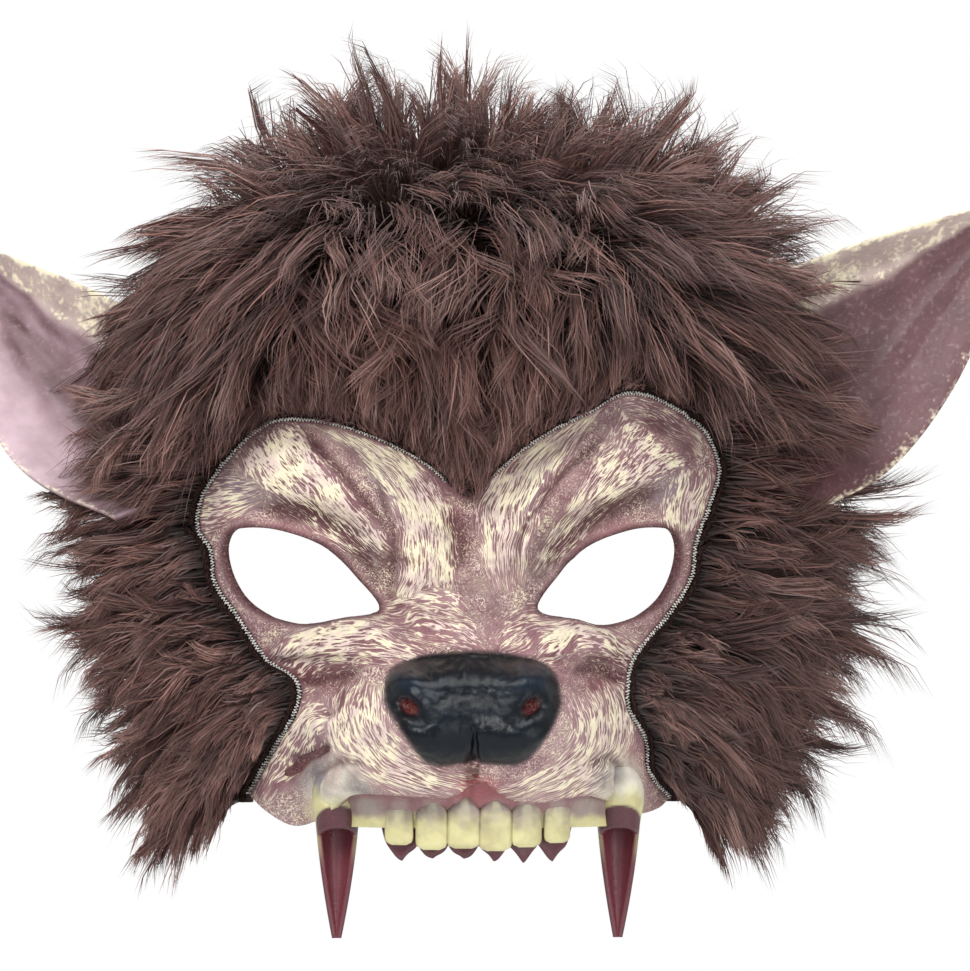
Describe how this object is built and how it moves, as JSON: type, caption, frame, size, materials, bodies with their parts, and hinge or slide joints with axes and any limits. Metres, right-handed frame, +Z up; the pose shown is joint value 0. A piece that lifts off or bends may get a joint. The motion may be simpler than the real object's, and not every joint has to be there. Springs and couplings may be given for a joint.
{
  "type": "wolf half mask",
  "caption": "Half mask of a snarling wolf: painted latex face with open eye holes, teeth and fangs, fur crown and cheeks, latex ears.",
  "frame": {"origin": "inside of the forehead at the midline, where the mask sits on a head", "axes": "+X to the right in a front view, +Y backwards into the head, +Z up; the muzzle points along -Y"},
  "size_m": [0.3062, 0.2104, 0.249],
  "materials": {
    "latex": "matt painted latex, cream dry-brushed over mauve",
    "ear_latex": "matt painted latex, mottled mauve",
    "backing": "knitted backing of fake fur",
    "fur": "long brown fake fur",
    "elastic": "woven elastic"
  },
  "bodies": {
    "root": {"face": "latex", "ear_left": "ear_latex", "ear_right": "ear_latex", "crown_backing": "backing", "cheek_left_backing": "backing", "cheek_right_backing": "backing", "crown_pile": "fur", "cheek_left_pile": "fur", "cheek_right_pile": "fur", "elastic_strap": "elastic"}
  },
  "joints": []
}
